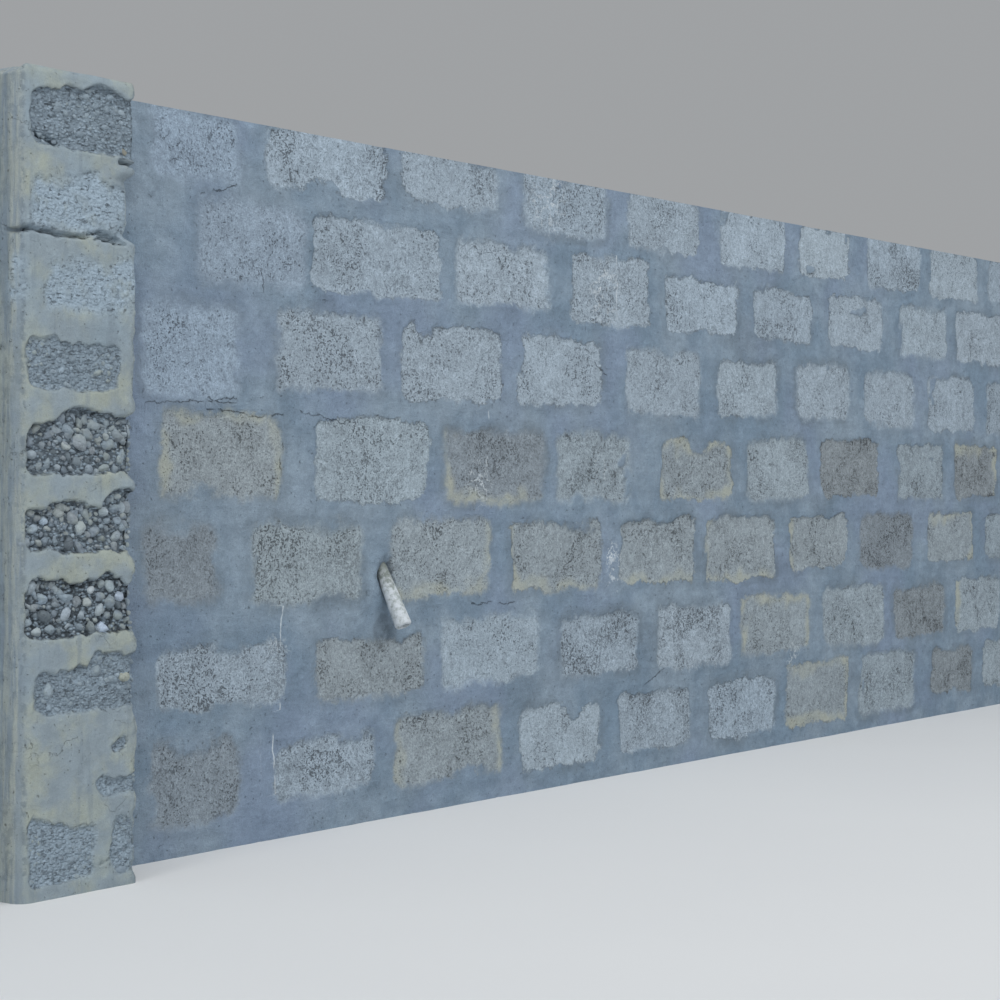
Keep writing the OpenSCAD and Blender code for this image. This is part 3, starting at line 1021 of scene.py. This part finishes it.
    def side_patches(self, rng):
        """A few bare patches on the flanks and the back, in mm from the front's left edge."""
        around = (self.half * 2 + self.deep) * 1000
        spots = []
        for start, length in ((-self.deep * 1000, self.deep * 1000), (self.half * 2000, self.deep * 1000),
                              (around, self.half * 2000)):
            if rng.random() < 0.55:
                a = start + rng.uniform(0.05, 0.5) * length
                low = rng.uniform(8, 40)
                spots.append((a, a + rng.uniform(0.2, 0.5) * length, low, low + rng.uniform(30, 70)))
        return spots

    def ring_points(self, first, last):
        inward, setback = self.inward[first:last + 1], self.setback[first:last + 1]
        x = self.middle + self.plan[:, 0] - self.plan[:, 2] * inward - 0.9 * setback
        y = self.plan[:, 1] - self.plan[:, 3] * inward + 0.55 * setback
        z = np.broadcast_to(self.zs[first:last + 1, None], x.shape)
        return np.dstack([x, y, z])

    def drum(self, first, last):
        """One closed layer of the pier between two rows."""
        grid = self.ring_points(first, last)
        rows, n = grid.shape[:2]
        ids = np.arange(rows * n).reshape(rows, n)
        right = np.roll(ids, -1, axis=1)
        quads = np.stack([ids[:-1], right[:-1], right[1:], ids[1:]], -1).reshape(-1, 4)
        layers = {k: v[first:last + 1].reshape(-1, *v.shape[2:]) for k, v in self.paint_layers.items()}
        return grid.reshape(-1, 3), quads, [list(ids[0, ::-1]), list(ids[-1])], layers

    def cap(self, first, last):
        """The mortar cap: worn round at the edges, lower along the left flank, nearly flat on top."""
        verts, quads, rims, layers = self.drum(first, last)
        n = len(self.plan)
        grid = verts.reshape(-1, n, 3).copy()
        rise = np.linspace(0, 1, len(grid))[:, None]
        flank = ease(-self.plan[:, 4] - self.half + 0.020, 0, 0.035) * (self.plan[:, 5] > 0.3)
        pull = rise ** 4 * (0.006 + 0.002 * wave(self.plan[:, 4], self.plan[:, 4] * 0, 0.03, self.seed))
        pull = pull * (self.plan[:, 5] > 0.25)
        grid[..., 0] -= self.plan[:, 2] * pull
        grid[..., 1] -= self.plan[:, 3] * pull
        grid[..., 2] -= rise * (0.0006 + 0.013 * flank)
        rings, centre = [grid.reshape(-1, 3)], np.array([self.middle, (self.front + self.back) / 2])
        rim = grid[-1]
        base = len(grid) * n
        last_ids = np.arange(n) + base - n
        rims = rims[:1]
        for k, part in enumerate((0.95, 0.86, 0.72, 0.52, 0.28)):
            ring = rim.copy()
            ring[:, :2] = centre + (rim[:, :2] - centre) * part
            level = wall_h - 0.0008 - 0.0010 * (1 + rough(ring[:, 0], ring[:, 1], 0.05, self.seed + k)) / 2
            ring[:, 2] = rim[:, 2] + (level - rim[:, 2]) * ease(np.array(1 - part), 0.0, 0.16)
            ids = np.arange(n) + base + k * n
            band = np.stack([last_ids, np.roll(last_ids, -1), np.roll(ids, -1), ids], -1)
            quads = np.concatenate([quads, band])
            rings.append(ring)
            last_ids = ids
            for name, values in self.paint_layers.items():
                layers[name] = np.concatenate([layers[name], values[last]])
        rims.append(list(last_ids))
        # A normal of zero leaves the shading of the top to Blender
        layers["normal"][base - 4 * n:] = 0.0
        return np.concatenate(rings), quads, rims, layers

    def stones(self):
        """Gravel in the worn patches: stones of mixed size, the big ones laid first."""
        rng, shells = self.rng, (ball_shell(3), ball_shell(2))
        verts, quads, tints, count = [], [], [], 0
        for (left, right, low, high), deep, size, plain_stone in self.patches:
            if deep < 2.3:
                continue
            right = min(right, self.half - 0.008)
            left = max(left, -self.half + 0.010)
            laid = []
            area = (right - left) * (high - low)
            tries = int(area / (size / 1000) ** 2 * (0.7 if plain_stone else 2.6) * self.density)
            sizes = np.sort(size / 1000 * np.exp(rng.normal(-0.25, 0.42, tries)))[::-1]
            wanted = [(x / 1000 - self.half, z / 1000, r / 1000, tone) for x, z, r, tone in
                      BIG_STONES.get(self.side, ()) if low - 0.01 < z / 1000 < high + 0.01]
            wanted += [(rng.uniform(left, right), rng.uniform(low, high), min(r, 0.016), None) for r in sizes]
            for x, z, r, tone in wanted:
                crowded = any((x - a) ** 2 + (z - b) ** 2 < (0.80 * (r + c)) ** 2 for a, b, c in laid)
                if tone is None and crowded:
                    continue
                if abs(x) + 1.3 * r > self.half - 0.002 or z + 1.2 * r > high + 0.010:
                    continue
                row, column = np.searchsorted(self.zs, z), np.argmin(np.abs(self.plan[:, 4] - x))
                row = min(row, len(self.zs) - 1)
                if self.paint_layers["bare_depth"][row, column] < 0.35 * r and tone is None:
                    continue
                laid.append((x, z, r))
                shell, faces = shells[0 if r > 0.0075 else 1]
                shape = stone_shape(shell, rng, r, 0.95)
                sunk = self.inward[row, column] + 0.55 * self.setback[row, column]
                sunk += (rng.uniform(0.25, 0.7) if plain_stone else rng.uniform(0.0, 0.5)) * r
                shape += np.array([self.middle + x, 0.0, z])
                shape[:, 1] += max(self.front + sunk, self.front + 0.0012 - shape[:, 1].min())
                verts.append(shape)
                quads.append(faces + count)
                count += len(shape)
                colour = np.array(STONE_TONES[rng.integers(len(STONE_TONES))])
                if plain_stone:
                    colour = 0.75 * np.array(SLAB_TONE) * 1.08 + 0.25 * colour
                colour = paint(tone)[:3] if tone else colour
                colour = np.array(colour) * rng.uniform(0.78, 1.08)
                tints.append(np.tile(np.append(colour, 0.0), (len(shape), 1)))
        if not verts:
            return None
        verts, tints = np.concatenate(verts), np.concatenate(tints)
        layers = {"bare_depth": np.full(len(verts), 0.03), "block_tint": tints,
                  "block_marks": np.tile((0.0, 0.0, 0.0, 1.0), (len(verts), 1)),
                  "normal": np.zeros((len(verts), 3))}
        return verts, np.concatenate(quads), [], layers

    def build(self, material, density=1.0):
        self.density = density
        groups = {"slabs": [], "mortar_beds": [], "mortar_cap": []}
        for (kind, _, _), first, last in zip(self.layers, self.rows[:-1], self.rows[1:]):
            if kind == "cap":
                groups["mortar_cap"].append(self.cap(first, last))
            else:
                groups["slabs" if isinstance(kind, int) else "mortar_beds"].append(self.drum(first, last))
        gravel = self.stones()
        if gravel:
            groups["slabs"].append(gravel)
        for group, parts in groups.items():
            node = f"{self.side}_pier_{group}"
            place_piece(f"{node}_skin", joined(parts), material, node)


# Mortar between two slabs of a pier
PIER_BED = 0.024
# Open cracks in mm from the pier's lower left corner: points, half width and depth in metres
GROOVES = {"middle": [(((-40, 1150), (40, 1152), (110, 1148), (170, 1150), (250, 1143)), 0.0042, 0.020),
                      (((150, 1155), (180, 1159), (246, 1150)), 0.0085, 0.018),
                      (((4, 1154), (40, 1154)), 0.0070, 0.012),
                      (((34, 1318), (60, 1313), (96, 1303)), 0.0050, 0.012),
                      (((226, 1290), (300, 1284)), 0.0080, 0.022),
                      (((176, 42), (224, 58), (300, 74)), 0.0026, 0.006)]}
# Single large stones in mm: across, up, radius, tone
BIG_STONES = {"middle": [(144, 640, 16, "#a7b4bd"), (120, 612, 12, "#68727a"), (246, 1311, 14, "#87877f"),
                         (60, 521, 14, "#9badbd"), (112, 490, 15, "#a4b1bd"), (150, 488, 13, "#8e9aa4"),
                         (190, 494, 12, "#97a3ab"), (238, 516, 11, "#a6b4c4"), (196, 464, 16, "#a5b4c6"),
                         (46, 462, 13, "#a5b0b5"), (226, 398, 12, "#7a858c"), (244, 374, 14, "#9da39b"),
                         (88, 510, 11, "#7d8890"), (170, 530, 9, "#a6b0b6"), (214, 536, 11, "#9aa8b0"),
                         (36, 640, 12, "#8d9ca8"), (62, 652, 10, "#98a8b6"), (196, 668, 12, "#9ca9b1")]}


def pier_material():
    """Pale mortar over worn concrete with rounded stones, told apart by the paint layers."""
    material, t, here = start_material("pier_render_and_gravel")
    depth = layer(t, "bare_depth")[0]
    tint = layer(t, "block_tint")[1]
    _, marks, stone = layer(t, "block_marks")
    split = put(t, "ShaderNodeSeparateColor", {0: marks})
    worn, flank = split.outputs[0], split.outputs[2]

    ragged = times(t, less(t, grain(t, here, 110.0, 4.0, 0.65), 0.5), 0.010)
    edge = plus(t, depth, ragged)
    width = scaled(t, fade(t, grain(t, here, 14.0, 2.0), 0.4, 0.65), 0.010, 0.0012)
    width = times(t, width, less(t, 1.0, times(t, worn, 0.9, clamp=True)))
    sound = less(t, 1.0, fade(t, worn, 0.10, 0.26))
    width = scaled(t, sound, 0.010, plus(t, width, 0.0008))
    bare = fade(t, edge, times(t, width, -1.0), width)
    thin = times(t, fade(t, grain(t, here, 21.0, 3.0, 0.6), 0.46, 0.62), sound)
    bare = times(t, bare, scaled(t, thin, -0.55, 1.0))

    upright = stretch(t, here, (60.0, 60.0, 5.0))
    runs = fade(t, grain(t, upright, 1.0, 4.0, 0.62), 0.42, 0.62)
    patch = fade(t, grain(t, here, 11.0, 4.0, 0.6), 0.40, 0.66)
    render = cover(t, patch, paint("#87949c"), paint("#979f98"))
    render = cover(t, fade(t, grain(t, here, 5.0, 3.0), 0.5, 0.75), render, paint("#8797a2"))
    side_tone = cover(t, runs, paint("#7b8892"), paint("#979e9a"))
    blots = fade(t, grain(t, here, 34.0, 5.0, 0.7), 0.52, 0.64)
    side_tone = cover(t, times(t, blots, 0.55), side_tone, paint("#647079"))
    render = cover(t, times(t, flank, 0.75), render, side_tone)
    arris = times(t, flank, less(t, 1.0, flank))
    chips = times(t, times(t, arris, 4.0), fade(t, grain(t, here, 60.0, 4.0, 0.7), 0.47, 0.60))
    render = cover(t, times(t, chips, 0.60), render, paint("#5f6b75"))
    fine = grain(t, here, 500.0, 2.0)
    render = vary(t, render, fine, 0.34, 0.83)
    dull = grain(t, here, 30.0, 4.0, 0.62)
    render = vary(t, render, dull, 0.44, 0.78)
    seam = thin_line(t, less(t, grain(t, here, 9.0, 5.0, 0.6), 0.5), 0.0006, 0.0034)
    seam = times(t, seam, fade(t, grain(t, here, 7.0, 1.0), 0.56, 0.64))
    render = vary(t, render, seam, -0.34, 1.0)
    smudge = fade(t, grain(t, upright, 0.7, 3.0, 0.6), 0.56, 0.70)
    render = cover(t, times(t, smudge, 0.45), render, paint("#76838d"))
    speck = fade(t, grain(t, here, 130.0, 3.0, 0.65), 0.655, 0.70)
    render = vary(t, render, speck, -0.45, 1.0)

    crumb = grain(t, here, 260.0, 3.0, 0.62)
    leaning = stretch(t, here, (105.0, 105.0, 175.0), 0.6)
    small = put(t, "ShaderNodeTexVoronoi", {"Vector": leaning, "Scale": 1.0, "Randomness": 1.0})
    chip = fade(t, scaled(t, crumb, 0.5, small.outputs["Distance"]), 0.42, 0.98)
    own = put(t, "ShaderNodeSeparateColor", {0: small.outputs["Color"]}).outputs[0]
    hole = fade(t, grain(t, here, 130.0, 2.0, 0.6), 0.60, 0.66)
    slit = grain(t, stretch(t, here, (70.0, 70.0, 150.0)), 1.0, 2.0, 0.55)
    rarer = grain(t, here, 18.0, 2.0)
    gash = fade(t, slit, scaled(t, rarer, -0.3, 0.79), scaled(t, rarer, -0.3, 0.85))
    rock = vary(t, tint, crumb, 1.0, 0.52)
    rock = vary(t, rock, dull, 0.44, 0.78)
    # Where the wear is deep, the rims of the small grains are darkened: painted shade in the gaps between
    # them
    rock = shade(t, rock, scaled(t, chip, times(t, times(t, worn, worn), -1.0), 1.12))
    varied = times(t, less(t, own, 0.5), times(t, worn, 0.60))
    rock = shade(t, rock, plus(t, varied, 1.0))
    rock = shade(t, rock, scaled(t, hole, scaled(t, sound, 0.14, -0.38), 1.0))
    rock = vary(t, rock, gash, -0.45, 1.0)
    pebble = vary(t, tint, grain(t, here, 150.0, 4.0, 0.7), 0.90, 0.60)
    rock = cover(t, stone, rock, pebble)
    skin = cover(t, bare, render, rock)

    rough_rock = times(t, chip, scaled(t, sound, 0.0022, -0.0036))
    rough_rock = scaled(t, crumb, 0.0016, rough_rock)
    rough_rock = scaled(t, hole, -0.003, rough_rock)
    rough_rock = scaled(t, gash, -0.003, rough_rock)
    rough_rock = scaled(t, dull, 0.003, rough_rock)
    rough_rock = times(t, rough_rock, less(t, 1.0, times(t, stone, 0.60)))
    trowel = scaled(t, fine, 0.0007, times(t, dull, 0.0045))
    trowel = scaled(t, seam, -0.0015, trowel)
    trowel = scaled(t, speck, -0.0012, trowel)
    trowel = scaled(t, times(t, runs, flank), 0.0012, trowel)
    trowel = plus(t, trowel, 0.001)
    height = put(t, "ShaderNodeMix", {"Factor": bare, "A": trowel, "B": rough_rock}, data_type="FLOAT")
    return end_material(material, skin, height.outputs["Result"], 0.9, 0.25)


# Width of a pier in mm
PIER_WIDE = 275


def other_pier(rng):
    """Wear of a pier like the middle one, with the slabs in another order and turned about."""
    order = list(rng.permutation(list(MIDDLE_FRONT)))
    result = {}
    for number, source in zip(MIDDLE_FRONT, order):
        patches, deep, stone, back = MIDDLE_FRONT[source]
        if rng.random() < 0.5:
            patches = [(PIER_WIDE - b, PIER_WIDE - a, c, d) for a, b, c, d in patches]
        result[number] = (patches, deep * rng.uniform(0.6, 1.0), stone, min(back, 6))
    return result


pier_skin = pier_material()
Pier("middle", 0.0036, (0.030, 0.008), "", MIDDLE_FRONT, 4).build(pier_skin)
Pier("left", 0.0064, (0.020, 0.024), "l", other_pier(np.random.default_rng(21)), 5).build(pier_skin, 0.12)
Pier("right", 0.0064, (0.024, 0.020), "r", other_pier(np.random.default_rng(34)), 6).build(pier_skin, 0.12)

# ---------------------------------------------------------------------------
# Weep pipes. A short tapered spout of pale plastic is set into the third
# course of each bay and bedded in mortar. It leans down and drips from its mouth.
# ---------------------------------------------------------------------------
def pipe_material(low_z, high_z):
    """Pale plastic with grime, darker towards its root: grime there, and painted shade where the root sits in
    its hollow.
    """
    material, t, here = start_material("weathered_pipe")
    grime = fade(t, grain(t, here, 70.0, 4.0, 0.65), 0.42, 0.66)
    up = put(t, "ShaderNodeSeparateXYZ", {"Vector": here}).outputs["Z"]
    rise = high_z - low_z
    # The part near the root is darkened: grime, and painted shade where it goes into the wall
    root_grime_and_shade = fade(t, scaled(t, grime, 0.02, up), low_z + 0.55 * rise, low_z + 0.85 * rise)
    skin = cover(t, grime, paint("#c2c9cf"), paint("#969f9f"))
    skin = cover(t, times(t, root_grime_and_shade, 0.8), skin, paint("#5d665f"))
    skin = vary(t, skin, grain(t, here, 420.0, 2.0), 0.2, 0.9)
    return end_material(material, skin, times(t, grime, -0.0006), 0.7, 0.5)


def build_pipe(side, material):
    """The spout turned round its axis: outside, chipped rim, wide bore, narrow bore."""
    out, inside, lean = 0.109, 0.060, math.radians(62)
    root, mouth, bore, narrow, bore_depth = 0.013, 0.019, 0.011, 0.008, 0.080
    low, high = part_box(f"{side}_bay_weep_pipe")
    profile = [(-inside, root)]
    for k in range(1, 25):
        t = k / 25
        profile.append((-inside + t * (out + inside), root + t * (mouth - root) - 0.0003))
    profile += [(out - 0.0022, mouth - 0.0006), (out - 0.0004, mouth - 0.0022), (out, mouth - 0.004),
                (out, 0.0125), (out - 0.0015, 0.0112)]
    profile += [(out - bore_depth * k / 8, bore) for k in range(1, 9)]
    profile += [(out - bore_depth, narrow), (0.0, narrow), (-inside, narrow)]
    around = 48
    turn = np.linspace(0, 2 * math.pi, around, endpoint=False)
    along = np.array([p[0] for p in profile])[:, None]
    radius = np.array([p[1] for p in profile])[:, None] * np.ones(around)
    outer = (np.arange(len(profile)) < 27)[:, None]
    ring = np.broadcast_to(turn * mouth, radius.shape)
    radius = radius - outer * 0.0005 * (1 + rough(ring, along + ring * 0, 0.02, 77)) / 2
    chips = ((along > out - 0.003) & outer) * 0.0012 * (1 + wave(ring, ring * 0, 0.012, 78))
    along = along - chips
    x, across = radius * np.cos(turn), radius * np.sin(turn)
    axis, up = (-math.cos(lean), -math.sin(lean)), (-math.sin(lean), math.cos(lean))
    face = Vector(((low.x + high.x) / 2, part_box("right_bay_course_1")[0].y, 0.0))
    # Height of the point where the axis leaves the panel, from the lowest point of the mouth
    start_z = low.z + math.sin(lean) * out + math.cos(lean) * mouth
    verts = np.stack([face.x + x, face.y + axis[0] * along + up[0] * across,
                      start_z + axis[1] * along + up[1] * across], -1)
    n = len(profile)
    ids = np.arange(n * around).reshape(n, around)
    below, right = np.roll(ids, -1, axis=0), np.roll(ids, -1, axis=1)
    quads = np.stack([ids, right, np.roll(right, -1, axis=0), below], -1).reshape(-1, 4)
    shape = verts.reshape(-1, 3), quads, [], {}
    place_piece(f"{side}_bay_spout", shape, material, f"{side}_bay_weep_pipe")


pipe_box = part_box("right_bay_weep_pipe")
pipe_skin = pipe_material(pipe_box[0].z, pipe_box[1].z)
build_pipe("right", pipe_skin)
build_pipe("left", pipe_skin)
